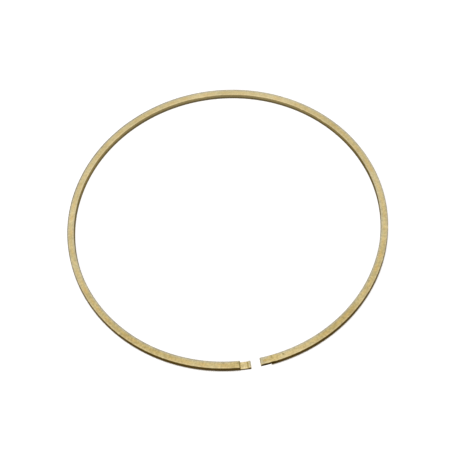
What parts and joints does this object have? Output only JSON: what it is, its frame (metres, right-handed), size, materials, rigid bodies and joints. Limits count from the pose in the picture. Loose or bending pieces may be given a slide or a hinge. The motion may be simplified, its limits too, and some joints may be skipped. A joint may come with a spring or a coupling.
{
  "type": "seal ring",
  "caption": "Split metal seal ring of flat rectangular section. Its ends carry stepped hooks, low and high, that overlap and catch each other when the ring is closed in its groove.",
  "frame": {"origin": "on the ring's axis, in its lower side face", "axes": "+Z along the ring's axis; the middle of the gap is on -Y, with the low hook on its -X side and the high hook on its +X side"},
  "size_m": [0.16, 0.16, 0.003],
  "materials": {
    "ring_metal": "dull satin brass with flat-ground sides, mottled, darker on the outer face and in the bore"
  },
  "bodies": {
    "root": {"seal_ring": "ring_metal"}
  },
  "joints": []
}
